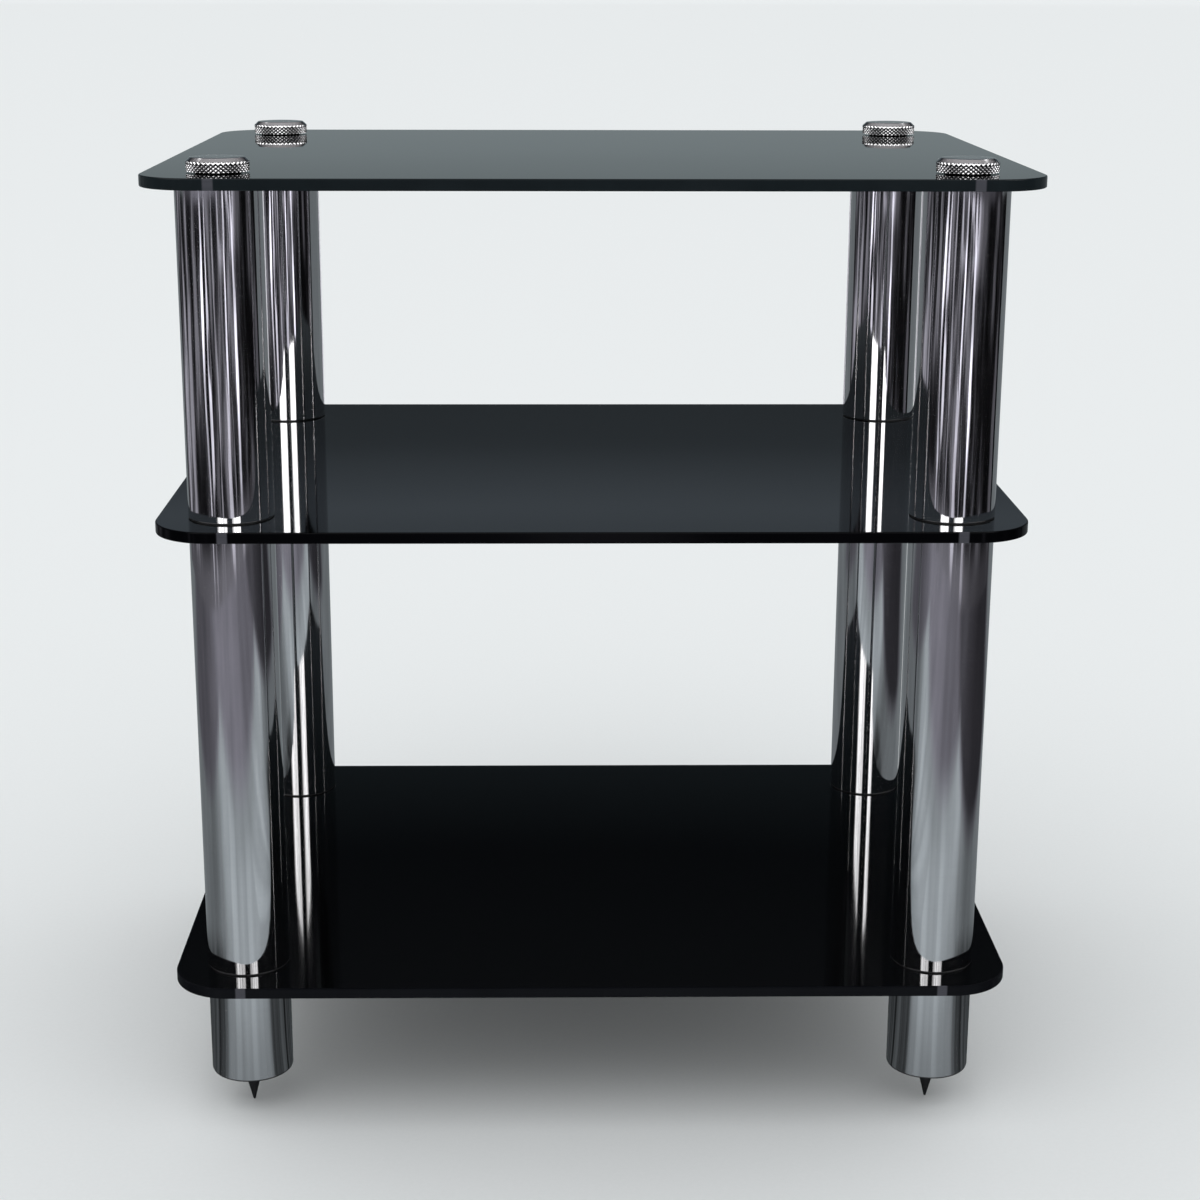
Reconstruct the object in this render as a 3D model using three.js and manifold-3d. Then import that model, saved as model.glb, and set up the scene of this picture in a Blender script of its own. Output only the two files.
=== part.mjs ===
// Audio equipment rack: three smoked glass shelves clamped between chromed tube columns.
// Millimetres, +Z up, the front faces -Y. The origin lies on the floor under the middle of the shelves.

import * as THREE from 'three';
import { mergeVertices, toCreasedNormals } from 'three/addons/utils/BufferGeometryUtils.js';
import Module from 'manifold-3d';

// Glass shelves: three equal sheets with rounded corners and polished edges
const shelfWidth = 610;
const shelfDepth = 478;
const shelfCornerRadius = 42;
const glassThickness = 8;
const edgeArris = 0.8;
const glassHoleClearance = 2;

// Columns: each stands on one vertical axis near a corner of the glass
const columnInset = 51.5;
const tubeDiameter = 60;
const tubeWall = 1.5;
const legTubeLength = 75;
const lowerTubeLength = 328;
const upperTubeLength = 228;

// End plugs: the thin flange lies between the tube and the glass and shows as a dark seam
const plugFlangeThickness = 1;
const plugFlangeRecess = 0.4;
const plugSpigotLength = 8;
const plugClearance = 0.3;

// Tie rods: M6 studding that runs down each column and clamps the whole stack
const rodDiameter = 6;
const rodClearance = 0.3;
const rodEndGap = 0.5;
const rodReachInCap = 6;

// Knurled caps: the nuts that close each column on the top shelf
const capDiameter = 43;
const capHeight = 9.2;
const capChamferHeight = 2.8;
const capChamferWidth = 3;
const knurlDepth = 0.6;
const knurlDiamonds = 44;
const knurlHalfRows = 6;

// Thrust washers: each holds its cap clear of the glass and leaves a dark gap under the knurl
const washerThickness = 1;
const washerRecess = 5.5;

// Lock nuts: each clamps the lower end of its tie rod under the leg
const nutThickness = 4;
const nutAcrossFlats = 10;

// Spikes: conical feet that screw on the lower ends of the tie rods
const spikeLength = 25;
const spikeDiameter = 13.5;
const spikeCollarLength = 2;
const spikeTipDiameter = 1.6;
const spikeLeastWall = 0.9;

// How finely the round forms are divided, and how far a cutting tool runs past what it cuts
const tubeSteps = 24;
const plugSteps = 14;
const boreSteps = 12;
const rodSteps = 10;
const spikeSteps = 14;
const cornerSteps = 4;
const cutOverrun = 5;

// Faces that meet at less than this angle are shaded as one smooth surface
const creaseAngle = Math.PI / 6;

// A round hole is a polygon too, so its corners lie further out for its flats to clear the shaft
const boreRadius = (rodDiameter / 2 + rodClearance) / Math.cos(Math.PI / boreSteps);

// Levels, worked up from the spike tips on the floor
const legBottom = spikeLength + nutThickness;
const legTubeBottom = legBottom + plugFlangeThickness;
const legTubeTop = legTubeBottom + legTubeLength;
const bottomShelfUnderside = legTubeTop + plugFlangeThickness;
const bottomShelfTop = bottomShelfUnderside + glassThickness;
const lowerTubeBottom = bottomShelfTop + plugFlangeThickness;
const lowerTubeTop = lowerTubeBottom + lowerTubeLength;
const middleShelfUnderside = lowerTubeTop + plugFlangeThickness;
const middleShelfTop = middleShelfUnderside + glassThickness;
const upperTubeBottom = middleShelfTop + plugFlangeThickness;
const upperTubeTop = upperTubeBottom + upperTubeLength;
const topShelfUnderside = upperTubeTop + plugFlangeThickness;
const topShelfTop = topShelfUnderside + glassThickness;
const capBottom = topShelfTop + washerThickness;

// Column axes, measured in from the edges of the glass
const columnX = shelfWidth / 2 - columnInset;
const columnY = shelfDepth / 2 - columnInset;
const columns = [
  { corner: 'front_left', x: -columnX, y: -columnY },
  { corner: 'front_right', x: columnX, y: -columnY },
  { corner: 'rear_left', x: -columnX, y: columnY },
  { corner: 'rear_right', x: columnX, y: columnY },
];

const materials = {
  glass: new THREE.MeshStandardMaterial({ color: 0x1a2024, roughness: 0.05, metalness: 0 }),
  chrome: new THREE.MeshStandardMaterial({ color: 0xc9c6cc, roughness: 0.08, metalness: 1 }),
  knurledChrome: new THREE.MeshStandardMaterial({ color: 0xd2d0d4, roughness: 0.18, metalness: 1 }),
  blackPlastic: new THREE.MeshStandardMaterial({ color: 0x0b0b0c, roughness: 0.6, metalness: 0 }),
  blackRubber: new THREE.MeshStandardMaterial({ color: 0x101011, roughness: 0.8, metalness: 0 }),
  zincSteel: new THREE.MeshStandardMaterial({ color: 0xa7a9ad, roughness: 0.35, metalness: 1 }),
  blackSteel: new THREE.MeshStandardMaterial({ color: 0x0e0f11, roughness: 0.4, metalness: 0.6 }),
};

const wasm = await Module();
wasm.setup();

// Turns a closed three.js mesh into a solid that can be cut
function toSolid(geometry) {
  const plain = geometry.clone();
  plain.deleteAttribute('normal');
  plain.deleteAttribute('uv');
  const merged = mergeVertices(plain);
  return new wasm.Manifold(new wasm.Mesh({
    numProp: 3,
    vertProperties: new Float32Array(merged.attributes.position.array),
    triVerts: new Uint32Array(merged.index.array),
  }));
}

// Turns a cut solid back into a three.js mesh
function toGeometry(solid) {
  const mesh = solid.getMesh();
  const geometry = new THREE.BufferGeometry();
  geometry.setAttribute('position', new THREE.BufferAttribute(mesh.vertProperties, 3));
  geometry.setIndex(new THREE.BufferAttribute(mesh.triVerts, 1));
  return geometry;
}

// Revolves a profile of [radius, height] points about the vertical axis
function revolve(profile, steps) {
  const points = profile.map(([radius, height]) => new THREE.Vector2(radius, height));
  const geometry = new THREE.LatheGeometry(points, steps);
  geometry.rotateX(Math.PI / 2);
  return geometry;
}

// A round bar that stands on z = 0
function bar(radius, length, steps) {
  const geometry = new THREE.CylinderGeometry(radius, radius, length, steps);
  geometry.rotateX(Math.PI / 2);
  geometry.translate(0, 0, length / 2);
  return geometry;
}

// A ring with a square section that stands on z = 0
function ring(innerRadius, outerRadius, height, steps) {
  return revolve([
    [innerRadius, 0],
    [outerRadius, 0],
    [outerRadius, height],
    [innerRadius, height],
    [innerRadius, 0],
  ], steps);
}

// A sheet of glass: rounded outline, a fine arris round both edges, one hole on each column axis
function makeShelf() {
  const left = -shelfWidth / 2 + edgeArris;
  const right = shelfWidth / 2 - edgeArris;
  const front = -shelfDepth / 2 + edgeArris;
  const back = shelfDepth / 2 - edgeArris;
  const radius = shelfCornerRadius - edgeArris;
  const quarter = Math.PI / 2;
  const outline = new THREE.Shape();
  outline.moveTo(left + radius, front);
  outline.lineTo(right - radius, front);
  outline.absarc(right - radius, front + radius, radius, -quarter, 0, false);
  outline.absarc(right - radius, back - radius, radius, 0, quarter, false);
  outline.absarc(left + radius, back - radius, radius, quarter, 2 * quarter, false);
  outline.absarc(left + radius, front + radius, radius, 2 * quarter, 3 * quarter, false);
  const sheet = new THREE.ExtrudeGeometry(outline, {
    depth: glassThickness - 2 * edgeArris,
    curveSegments: cornerSteps,
    bevelEnabled: true,
    bevelThickness: edgeArris,
    bevelSize: edgeArris,
    bevelSegments: 1,
  });
  sheet.translate(0, 0, edgeArris);
  let solid = toSolid(sheet);
  const holeRadius = rodDiameter / 2 + glassHoleClearance;
  for (const column of columns) {
    const hole = bar(holeRadius, glassThickness + 2 * cutOverrun, boreSteps);
    hole.translate(column.x, column.y, -cutOverrun);
    solid = solid.subtract(toSolid(hole));
  }
  return toGeometry(solid);
}

// A length of round tube, open at both ends
function makeTube(length) {
  return ring(tubeDiameter / 2 - tubeWall, tubeDiameter / 2, length, tubeSteps);
}

// An end plug with its flange on z = 0 and its spigot pointing up into the tube
function makePlug() {
  const tubeFlat = (tubeDiameter / 2 - tubeWall) * Math.cos(Math.PI / tubeSteps);
  const spigotRadius = tubeFlat - plugClearance;
  const flangeRadius = tubeDiameter / 2 - plugFlangeRecess;
  const top = plugFlangeThickness + plugSpigotLength;
  return revolve([
    [boreRadius, 0],
    [flangeRadius, 0],
    [flangeRadius, plugFlangeThickness],
    [spigotRadius, plugFlangeThickness],
    [spigotRadius, top],
    [boreRadius, top],
    [boreRadius, 0],
  ], plugSteps);
}

// The same plug turned over, with its flange uppermost on z = 0 and its spigot pointing down
function makePlugDown() {
  const plug = makePlug();
  plug.rotateX(Math.PI);
  return plug;
}

// The diamond knurl is a lattice of crests and hollows on the rim of the cap. Where the two helical
// grooves cross lies a hollow, and each crest between them is the point of a four-sided pyramid.
function makeCapBlank() {
  const around = knurlDiamonds * 2;
  const crestRadius = capDiameter / 2;
  const hollowRadius = crestRadius - knurlDepth;
  const knurlHeight = capHeight - capChamferHeight;
  const topRadius = crestRadius - capChamferWidth;
  const positions = [];
  const faces = [];
  const point = (radius, turn, height) => {
    positions.push(radius * Math.cos(turn), radius * Math.sin(turn), height);
  };
  for (let row = 0; row <= knurlHalfRows; row += 1) {
    for (let step = 0; step < around; step += 1) {
      const crest = (row + step) % 2 === 0;
      const turn = 2 * Math.PI * step / around;
      point(crest ? crestRadius : hollowRadius, turn, knurlHeight * row / knurlHalfRows);
    }
  }
  // Each square of the lattice is folded from hollow to hollow, so that the crests stay sharp
  for (let row = 0; row < knurlHalfRows; row += 1) {
    for (let step = 0; step < around; step += 1) {
      const next = (step + 1) % around;
      const nearLow = row * around + step;
      const farLow = row * around + next;
      const nearHigh = nearLow + around;
      const farHigh = farLow + around;
      if ((row + step) % 2 === 0) {
        faces.push(nearLow, farLow, nearHigh);
        faces.push(farLow, farHigh, nearHigh);
      } else {
        faces.push(nearLow, farLow, farHigh);
        faces.push(nearLow, farHigh, nearHigh);
      }
    }
  }
  // The chamfer runs from the last row of the knurl up to a ring with half as many points
  const lastRow = knurlHalfRows * around;
  const topRing = lastRow + around;
  for (let step = 0; step < knurlDiamonds; step += 1) {
    point(topRadius, 2 * Math.PI * step / knurlDiamonds, capHeight);
  }
  for (let step = 0; step < knurlDiamonds; step += 1) {
    const next = (step + 1) % knurlDiamonds;
    const near = lastRow + step * 2;
    const middle = near + 1;
    const far = lastRow + next * 2;
    faces.push(near, middle, topRing + step);
    faces.push(middle, topRing + next, topRing + step);
    faces.push(middle, far, topRing + next);
  }
  // Flat faces close the top and the underside
  const topCentre = topRing + knurlDiamonds;
  point(0, 0, capHeight);
  for (let step = 0; step < knurlDiamonds; step += 1) {
    faces.push(topRing + step, topRing + (step + 1) % knurlDiamonds, topCentre);
  }
  const underCentre = topCentre + 1;
  point(0, 0, 0);
  for (let step = 0; step < around; step += 1) {
    faces.push((step + 1) % around, step, underCentre);
  }
  const geometry = new THREE.BufferGeometry();
  geometry.setAttribute('position', new THREE.Float32BufferAttribute(positions, 3));
  geometry.setIndex(faces);
  return geometry;
}

// A knurled cap with a blind hole for the tie rod in its underside
function makeCap() {
  const boreDepth = rodReachInCap + rodEndGap;
  const bore = bar(boreRadius, boreDepth + cutOverrun, boreSteps);
  bore.translate(0, 0, -cutOverrun);
  return toGeometry(toSolid(makeCapBlank()).subtract(toSolid(bore)));
}

// A thrust washer, smaller across than its cap
function makeWasher() {
  return ring(boreRadius, capDiameter / 2 - washerRecess, washerThickness, plugSteps);
}

// A thin hexagon nut with a plain hole
function makeLockNut() {
  const hexagonSides = 6;
  const cornerRadius = nutAcrossFlats / 2 / Math.cos(Math.PI / hexagonSides);
  const hexagon = bar(cornerRadius, nutThickness, hexagonSides);
  const bore = bar(boreRadius, nutThickness + 2 * cutOverrun, boreSteps);
  bore.translate(0, 0, -cutOverrun);
  return toGeometry(toSolid(hexagon).subtract(toSolid(bore)));
}

// The blind hole in a spike goes down to where the cone still leaves its least wall
const spikeBoreRadius = (rodDiameter / 2 + rodClearance) / Math.cos(Math.PI / spikeSteps);
const spikeConeLength = spikeLength - spikeCollarLength;
const spikeTaper = (spikeDiameter - spikeTipDiameter) / 2 / spikeConeLength;
const spikeWallAtCollar = spikeDiameter / 2 - spikeBoreRadius;
const spikeBoreDepth = spikeCollarLength + (spikeWallAtCollar - spikeLeastWall) / spikeTaper;

// A conical foot with a blunt tip on z = 0
function makeSpike() {
  const boreBottom = spikeLength - spikeBoreDepth;
  return revolve([
    [0, 0],
    [spikeTipDiameter / 2, 0],
    [spikeDiameter / 2, spikeConeLength],
    [spikeDiameter / 2, spikeLength],
    [spikeBoreRadius, spikeLength],
    [spikeBoreRadius, boreBottom],
    [0, boreBottom],
  ], spikeSteps);
}

// A tie rod from inside the spike to inside the cap
const rodBottom = spikeLength - spikeBoreDepth + rodEndGap;
const rodTop = capBottom + rodReachInCap;

function makeRod() {
  return bar(rodDiameter / 2, rodTop - rodBottom, rodSteps);
}

const rack = new THREE.Group();

function addPiece(name, geometry, material, x, y, z) {
  const mesh = new THREE.Mesh(toCreasedNormals(geometry, creaseAngle), material);
  mesh.name = name;
  mesh.position.set(x, y, z);
  rack.add(mesh);
}

addPiece('shelf_bottom', makeShelf(), materials.glass, 0, 0, bottomShelfUnderside);
addPiece('shelf_middle', makeShelf(), materials.glass, 0, 0, middleShelfUnderside);
addPiece('shelf_top', makeShelf(), materials.glass, 0, 0, topShelfUnderside);

for (const { corner, x, y } of columns) {
  const add = (name, geometry, material, z) => addPiece(`${name}_${corner}`, geometry, material, x, y, z);
  add('spike', makeSpike(), materials.blackSteel, 0);
  add('lock_nut', makeLockNut(), materials.zincSteel, spikeLength);
  add('tie_rod', makeRod(), materials.zincSteel, rodBottom);
  add('leg_plug_bottom', makePlug(), materials.blackPlastic, legBottom);
  add('leg_tube', makeTube(legTubeLength), materials.chrome, legTubeBottom);
  add('leg_plug_top', makePlugDown(), materials.blackPlastic, bottomShelfUnderside);
  add('lower_plug_bottom', makePlug(), materials.blackPlastic, bottomShelfTop);
  add('lower_tube', makeTube(lowerTubeLength), materials.chrome, lowerTubeBottom);
  add('lower_plug_top', makePlugDown(), materials.blackPlastic, middleShelfUnderside);
  add('upper_plug_bottom', makePlug(), materials.blackPlastic, middleShelfTop);
  add('upper_tube', makeTube(upperTubeLength), materials.chrome, upperTubeBottom);
  add('upper_plug_top', makePlugDown(), materials.blackPlastic, topShelfUnderside);
  add('cap_washer', makeWasher(), materials.blackRubber, topShelfTop);
  add('cap', makeCap(), materials.knurledChrome, capBottom);
}

export default rack;
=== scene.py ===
# %% [markdown]
# # An audio equipment rack
#
# Three sheets of black glass are clamped between chromed tubes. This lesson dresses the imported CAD
# model: it keeps every size and joint of it, and gives each piece the smooth shape and the finish
# that the real one has. The frame is loaded first, because every piece below is built from the
# boxes of its nodes.

# %% Load the frame
import math

import bmesh
import bpy
from mathutils import Matrix, Vector


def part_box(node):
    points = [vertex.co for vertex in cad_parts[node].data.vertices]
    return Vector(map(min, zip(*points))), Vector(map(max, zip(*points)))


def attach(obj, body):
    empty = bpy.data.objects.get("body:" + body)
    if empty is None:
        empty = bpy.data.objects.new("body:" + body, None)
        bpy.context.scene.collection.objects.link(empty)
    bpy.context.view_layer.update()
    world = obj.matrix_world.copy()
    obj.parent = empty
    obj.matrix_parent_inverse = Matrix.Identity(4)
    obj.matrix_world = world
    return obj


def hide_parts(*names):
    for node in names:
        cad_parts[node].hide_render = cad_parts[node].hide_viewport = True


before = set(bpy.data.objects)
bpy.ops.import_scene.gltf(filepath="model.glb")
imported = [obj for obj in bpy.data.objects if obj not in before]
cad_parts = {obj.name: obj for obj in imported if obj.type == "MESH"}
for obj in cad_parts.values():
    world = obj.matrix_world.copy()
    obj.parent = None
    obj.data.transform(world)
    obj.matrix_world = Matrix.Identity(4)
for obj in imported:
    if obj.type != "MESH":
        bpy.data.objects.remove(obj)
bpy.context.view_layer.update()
print("nodes in the frame:", len(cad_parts))

# %% [markdown]
# ## The camera
#
# The rack was photographed from the front, a little above its top shelf and slightly left of its
# middle. The camera's place, its three angles and its lens were worked out from the outlines of the
# shelves and columns, so the picture frames the rack as the photograph does. The shift is the small
# part of the framing that a turn of the camera can't give without slanting the columns.

# %% Place the camera
MM = 0.001
CAMERA_PLACE = Vector((-30.4, -1747.1, 821.1)) * MM
CAMERA_PITCH = math.radians(15.449)
CAMERA_YAW = math.radians(0.891)
CAMERA_ROLL = math.radians(0.151)
CAMERA_LENS = 68.263
CAMERA_SHIFT = 0.01374


def placed(name, data):
    """An object of this data, linked to the scene."""
    made = bpy.data.objects.new(name, data)
    bpy.context.scene.collection.objects.link(made)
    return made


def aimed_camera():
    """The camera object, aimed by its yaw, its pitch below level and its roll."""
    ahead = Vector((
        math.sin(CAMERA_YAW) * math.cos(CAMERA_PITCH),
        math.cos(CAMERA_YAW) * math.cos(CAMERA_PITCH),
        -math.sin(CAMERA_PITCH),
    ))
    level = Vector((math.cos(CAMERA_YAW), -math.sin(CAMERA_YAW), 0))
    upward = level.cross(ahead)
    across = level * math.cos(CAMERA_ROLL) + upward * math.sin(CAMERA_ROLL)
    upward = across.cross(ahead)
    turn = Matrix((across, upward, -ahead)).transposed().to_4x4()
    data = bpy.data.cameras.new("camera")
    data.lens = CAMERA_LENS
    data.sensor_width = 36
    data.shift_x = CAMERA_SHIFT
    data.clip_start = 0.05
    camera = placed("camera", data)
    camera.matrix_world = Matrix.Translation(CAMERA_PLACE) @ turn
    return camera


bpy.context.scene.camera = aimed_camera()
bpy.context.scene.view_settings.view_transform = "Standard"
print("camera at", [round(value, 3) for value in CAMERA_PLACE])

# %% [markdown]
# ## Writing materials as sums
#
# Every finish below is made of noise, stripes and masks that are added and multiplied. Placing each
# Math node by hand would bury the idea in wiring. So a small class wraps a socket, and the ordinary
# signs of arithmetic add the nodes. One more method adds any other node from its type, its settings
# and the values or wires of its sockets.

# %% A socket that can be used in sums
class Wire:
    """An output socket that adds Math nodes when it is used in a sum."""

    def __init__(self, sheet, socket):
        self.sheet = sheet
        self.socket = socket

    def __add__(self, other):
        return self.sheet.math("ADD", self, other)

    def __sub__(self, other):
        return self.sheet.math("SUBTRACT", self, other)

    def __rsub__(self, other):
        return self.sheet.math("SUBTRACT", other, self)

    def __mul__(self, other):
        return self.sheet.math("MULTIPLY", self, other)

    def __truediv__(self, other):
        return self.sheet.math("DIVIDE", self, other)

    def __neg__(self):
        return self.sheet.math("SUBTRACT", 0, self)

    def __abs__(self):
        return self.sheet.math("ABSOLUTE", self)

    __radd__ = __add__
    __rmul__ = __mul__

    def larger(self, other):
        """The larger of two values."""
        return self.sheet.math("MAXIMUM", self, other)

    def length(self, other):
        """How long a line is that goes this far one way and that far the other."""
        return self.sheet.math("SQRT", self * self + other * other)

    def degrees(self, ahead):
        """The angle of a place that is this far aside and that far ahead."""
        return self.sheet.math("ARCTAN2", self, ahead) * (180 / math.pi)


class Sheet:
    """A node tree that is written from Python."""

    def __init__(self, tree):
        self.tree = tree
        tree.nodes.clear()

    @staticmethod
    def find(sockets, key):
        """The socket with this place in the list, or the first one in use with this name."""
        if isinstance(key, int):
            return sockets[key]
        return next(socket for socket in sockets if socket.enabled and socket.name == key)

    def node(self, kind, settings=None, sockets=None, output=0):
        """Adds a node: its settings come first, then the values or wires of its sockets."""
        made = self.tree.nodes.new(kind)
        for name, value in (settings or {}).items():
            if name == "stops":
                self.set_stops(made.color_ramp, value)
            else:
                setattr(made, name, value)
        for key, value in (sockets or {}).items():
            socket = self.find(made.inputs, key)
            if isinstance(value, Wire):
                self.tree.links.new(value.socket, socket)
            else:
                socket.default_value = value
        if not made.outputs:
            return made
        return Wire(self, self.find(made.outputs, output))

    @staticmethod
    def set_stops(ramp, stops):
        """Gives a colour ramp its stops, as pairs of a place and a brightness or colour."""
        while len(ramp.elements) < len(stops):
            ramp.elements.new(1.0)
        for element, (place, colour) in zip(ramp.elements, stops):
            element.position = place
            if isinstance(colour, (int, float)):
                colour = (colour, colour, colour)
            element.color = (*colour, 1)

    def math(self, operation, first, second=0.0):
        return self.node("ShaderNodeMath", {"operation": operation}, {0: first, 1: second})

    def vector(self, operation, first, second):
        return self.node("ShaderNodeVectorMath", {"operation": operation}, {0: first, 1: second})

    def scaled(self, vector, times):
        """A vector or a colour, made this many times as long or as bright."""
        return self.node("ShaderNodeVectorMath", {"operation": "SCALE"}, {0: vector, "Scale": times})

    def parts(self, place):
        """The three values of a place: across, depth and height."""
        split = self.node("ShaderNodeSeparateXYZ", sockets={0: place})
        return [Wire(self, socket) for socket in split.socket.node.outputs]

    def axes(self):
        """Object coordinates as three values."""
        return self.parts(self.node("ShaderNodeTexCoord", output="Object"))

    def grain(self, dimensions, place, scale, detail, roughness):
        """Noise from 0 to 1 over one, two or three dimensions."""
        sockets = {**place, "Scale": scale, "Detail": detail, "Roughness": roughness}
        return self.node("ShaderNodeTexNoise", {"noise_dimensions": dimensions}, sockets)

    def noise(self, across, along, detail=3.0):
        """Noise whose grains are 1/across metres wide and 1/along metres tall."""
        place = self.node("ShaderNodeTexCoord", output="Object")
        stretch = {"Vector": place, "Scale": (across, across, along)}
        place = self.node("ShaderNodeMapping", sockets=stretch)
        return self.grain("3D", {"Vector": place}, 1.0, detail, 0.5)

    def flat_noise(self, first, second, scale=1.0, detail=3.0, roughness=0.5):
        """Noise over two values."""
        place = self.node("ShaderNodeCombineXYZ", sockets={0: first, 1: second})
        return self.grain("2D", {"Vector": place}, scale, detail, roughness)

    def line_noise(self, value, scale, detail, roughness=0.5):
        """Noise over one value."""
        return self.grain("1D", {"W": value}, scale, detail, roughness)

    def step_up(self, value, start, end, top=1.0):
        """A smooth step from 0 at start to top at end."""
        sockets = {"Value": value, "From Min": start, "From Max": end, "To Max": top}
        return self.node("ShaderNodeMapRange", {"interpolation_type": "SMOOTHSTEP"}, sockets)

    def ramp(self, value, *stops):
        """A value passed through the stops of a colour ramp."""
        return self.node("ShaderNodeValToRGB", {"stops": stops}, {"Fac": value}, "Color")

    def blend(self, share, first, second):
        """A colour between two, by a share from 0 to 1."""
        colours = [end if isinstance(end, Wire) else (*end, 1) for end in (first, second)]
        sockets = {"Factor": share, "A": colours[0], "B": colours[1]}
        return self.node("ShaderNodeMix", {"data_type": "RGBA"}, sockets, "Result")

    def bump(self, height, distance):
        """A bent normal for a height from 0 to 1 that stands for this many metres."""
        return self.node("ShaderNodeBump", sockets={"Height": height, "Distance": distance})


def finish_of(name, write):
    """A material whose surface is what write() makes: a shader, or the sockets of a Principled one."""
    material = bpy.data.materials.new(name)
    material.use_nodes = True
    sheet = Sheet(material.node_tree)
    surface = write(sheet)
    if isinstance(surface, dict):
        surface = sheet.node("ShaderNodeBsdfPrincipled", sockets=surface)
    sheet.node("ShaderNodeOutputMaterial", sockets={"Surface": surface})
    print("finish:", name, "with", len(material.node_tree.nodes), "nodes")
    return material


# %% [markdown]
# ## Black glass
#
# The shelves are glass with a black backing, so light never comes through them: they are black
# mirrors. Seen at a low angle a black mirror is as bright as what it reflects, and seen from above
# it is nearly black, and the shader's own Fresnel does that from the refractive index of glass. The
# cloth that wiped the glass leaves a faint film, which here makes the gloss vary a little. The edge
# is ground and polished, so it gets a finish of its own, a little greener and less sharp, with fine
# lines that run along it. Its colour is painted lighter and greener on the top shelf and darkest on
# the middle one: painted light, for how each edge is lit. Where a rod goes through the glass, the
# clear layer above the backing pipes its gleam to the nearest edges. That gleam is a painted
# reflection: a small pale window painted into the edge's colour, in line with the column.

# %% The axis and the size of a round piece
def centre_of(node):
    """The axis of a round node, and its lowest and highest level."""
    low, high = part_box(node)
    middle = (low + high) / 2
    return (middle.x, middle.y), low.z, high.z


def reach(node, way):
    """Half the size of a node, across (0) or in depth (1)."""
    low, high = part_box(node)
    return (high[way] - low[way]) / 2


# %% The two finishes of the glass
GLASS_IOR = 1.52
EDGE_IOR = 1.15
# Painted light on the edges: their colour by height, lightest and greenest on the top shelf.
EDGE_PAINTED_LIGHT_BY_HEIGHT = ((0.11, (0.0072, 0.0076, 0.0100)), (0.45, (0.0018, 0.0019, 0.0028)),
              (0.68, (0.0150, 0.0210, 0.0245)))
# The painted reflection of each rod in the nearest edges: its colour and the size of its patch.
ROD_GLEAM_PAINT = (0.075, 0.075, 0.088)
ROD_GLEAM_SIDE = (4.2 * MM, 2.8 * MM)
ROD_GLEAM_DEPTH = (6 * MM, 4 * MM)


def write_glass_face(sheet):
    film = sheet.noise(7, 7, detail=4)
    wipes = sheet.noise(26, 26, detail=2)
    specks = sheet.ramp(sheet.noise(900, 900, detail=1), (0.70, 0.0), (0.78, 1.0))
    return {
        "Base Color": sheet.blend(film, (0.0005, 0.0007, 0.0008), (0.0011, 0.0013, 0.0015)),
        "Roughness": 0.012 + film * 0.022 + wipes * 0.012 + specks * 0.03,
        "IOR": GLASS_IOR,
        "Normal": sheet.bump(sheet.noise(5, 5, detail=0), 0.00008),
    }


def write_glass_edge(sheet):
    lines = sheet.noise(14, 2600, detail=2)
    patches = sheet.noise(40, 40, detail=3)
    across, depth, height = sheet.axes()
    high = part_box("shelf_top")[1]
    rod = centre_of("tie_rod_rear_right")[0]
    # Painted reflection: a small pale patch in the edge's colour in line with each rod, standing for
    # the rod's gleam.
    painted_rod_gleam = 0.0
    for along, other, middle, end in ((across, depth, rod[0], high.y), (depth, across, rod[1], high.x)):
        at_edge = sheet.step_up(abs(other), end - ROD_GLEAM_DEPTH[0], end - ROD_GLEAM_DEPTH[1])
        painted_rod_gleam = sheet.step_up(abs(abs(along) - middle), *ROD_GLEAM_SIDE) * at_edge + painted_rod_gleam
    # Painted light: the edge's colour follows its height, lightest and greenest on the top shelf and
    # darkest on the middle one. The patches below darken it at random.
    edge_tone_and_painted_light = sheet.ramp(height, *EDGE_PAINTED_LIGHT_BY_HEIGHT)
    edge_tone_and_painted_light = sheet.blend(0.25 + patches * 0.3, edge_tone_and_painted_light, (0.0, 0.0, 0.0))
    return {
        "Base Color": sheet.blend(painted_rod_gleam * (0.55 + lines * 0.5), edge_tone_and_painted_light, ROD_GLEAM_PAINT),
        "Roughness": 0.06 + patches * 0.10,
        "IOR": EDGE_IOR,
        "Normal": sheet.bump(lines * 0.6 + patches * 0.4, 0.00002),
    }


glass_face = finish_of("black_glass", write_glass_face)
glass_edge = finish_of("polished_glass_edge", write_glass_edge)

# %% [markdown]
# ## Chrome
#
# The columns are drawn tube, polished along its length and then chromed. The colour of chromium is
# a nearly neutral grey that reflects a little over half of the light, and everything else that shows
# in it is a reflection. What makes it look like tube and not like a mirror is its very slightly
# uneven skin: long shallow waves from the drawing, and hair lines from the polishing. Both are
# noise stretched along the height, and they bend the normal, so that a reflected edge turns into a
# bundle of streaks. The buffing wheel also left fine rings round the tube. They spread a bright
# reflection up and down into a soft vertical glow, so a little of a second shader is mixed in: it is
# rough along the height and smooth round the tube. The caps carry brighter plating. It is smooth on
# their turned tops. In the grooves of the knurl its colour is painted dark, as painted shade,
# because little light gets there.

# %% The chromed finishes
# Where the painted shade in the knurl's grooves begins and ends, and how much of it there is.
GROOVE_RADII = (21.30 * MM, 20.95 * MM)
GROOVE_SHADE = 0.97


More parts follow.
